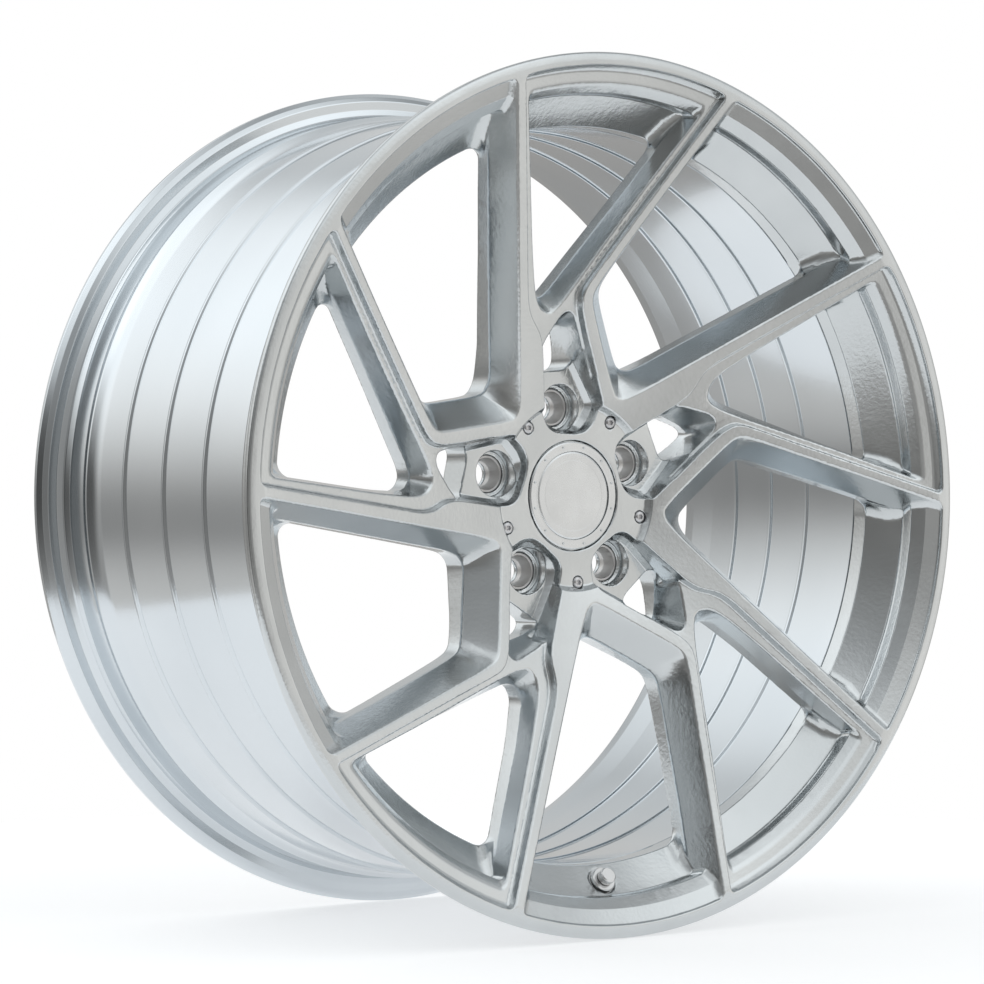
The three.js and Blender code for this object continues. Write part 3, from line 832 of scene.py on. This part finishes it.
me = bpy.data.meshes.new("floor")
zf, rf = float(CAD_LO.z) - 0.0005, 0.80
turn = [2 * math.pi * k / 128 for k in range(128)]
me.from_pydata([(rf * math.cos(a), rf * math.sin(a), zf) for a in turn], [], [tuple(range(128))])
floor = bpy.data.objects.new("floor", me)
scene.collection.objects.link(floor)
fm = Nodes("floor_pale")
fm.set(Base_Color=fm.mix(fm.noise(3, 2), rgb(0.54, 0.545, 0.55), rgb(0.56, 0.565, 0.57)), Roughness=0.9,
       Emission_Color=rgb(0.98, 0.99, 1), Emission_Strength=0.56)
coat(floor, fm.mat)

# The surroundings: a grey studio with two big soft lights, one high in front on the right and one high behind on the left,
# a dark wall low on the left, and a plain white background behind the wheel.
world = bpy.data.worlds.new("studio")
scene.world = world
world.use_nodes = True
wt = world.node_tree
wt.nodes.clear()


def wn(kind, values=None, **props):
    n = wt.nodes.new(kind)
    for k, v in props.items():
        setattr(n, k, v)
    for k, v in (values or {}).items():
        if isinstance(v, bpy.types.NodeSocket):
            wt.links.new(v, n.inputs[k])
        else:
            n.inputs[k].default_value = v
    return n


sky = wn("ShaderNodeTexCoord").outputs["Generated"]


def glow(az, el, inner, outer, level):
    """A soft patch of light round a direction; inner and outer are angles from its middle in degrees."""
    a, e = math.radians(az), math.radians(el)
    d = (math.sin(a) * math.cos(e), -math.cos(a) * math.cos(e), math.sin(e))
    dot = wn("ShaderNodeVectorMath", {0: sky, 1: d}, operation="DOT_PRODUCT").outputs["Value"]
    m = wn("ShaderNodeMapRange", {"Value": dot, "From Min": math.cos(math.radians(outer)), "From Max": math.cos(math.radians(inner)),
                                  "To Min": 0.0, "To Max": level}, interpolation_type="SMOOTHSTEP")
    return m.outputs[0]


total = None
for patch in SKY:
    g = glow(*patch)
    total = g if total is None else wn("ShaderNodeMath", {0: total, 1: g}, operation="ADD").outputs[0]
total = wn("ShaderNodeMath", {0: total, 1: SKY_BASE}, operation="ADD").outputs[0]
total = wn("ShaderNodeMath", {0: total, 1: 0.02}, operation="MAXIMUM").outputs[0]
seen = wn("ShaderNodeBackground", {0: (1, 1, 1, 1), 1: 1.0})
up_down = wn("ShaderNodeMapRange", {"Value": wn("ShaderNodeSeparateXYZ", {0: sky}).outputs[2], "From Min": 0.05, "From Max": 0.5,
                                    "To Min": 0.0, "To Max": 1.0}).outputs[0]
tint = wn("ShaderNodeMix", data_type="RGBA")
wt.links.new(up_down, tint.inputs[0])
tint.inputs[6].default_value = (1.0, 0.975, 0.94, 1)
tint.inputs[7].default_value = (0.965, 0.99, 1.0, 1)
lit = wn("ShaderNodeBackground", {0: tint.outputs[2], 1: total})
ray = wn("ShaderNodeLightPath").outputs["Is Camera Ray"]
both = wn("ShaderNodeMixShader", {0: ray, 1: lit.outputs[0], 2: seen.outputs[0]})
wn("ShaderNodeOutputWorld", {0: both.outputs[0]})

# ---- camera ---------------------------------------------------------------
az, el = math.radians(-35.5752), math.radians(-0.4074)
back = Vector((math.sin(az) * math.cos(el), -math.cos(az) * math.cos(el), math.sin(el)))
right = Vector((0, 0, 1)).cross(back).normalized()
up = back.cross(right)
cam_data = bpy.data.cameras.new("camera")
cam = bpy.data.objects.new("camera", cam_data)
scene.collection.objects.link(cam)
cam.location = back * 2.17997 + right * -0.007441 + up * 0.002681
cam.rotation_mode = "QUATERNION"
cam.rotation_quaternion = Matrix((right, up, back)).transposed().to_quaternion()
cam_data.sensor_width = 36.0
cam_data.lens = 36.0 * 3353.0 / 984.0
cam_data.clip_start, cam_data.clip_end = 0.05, 200.0
scene.camera = cam
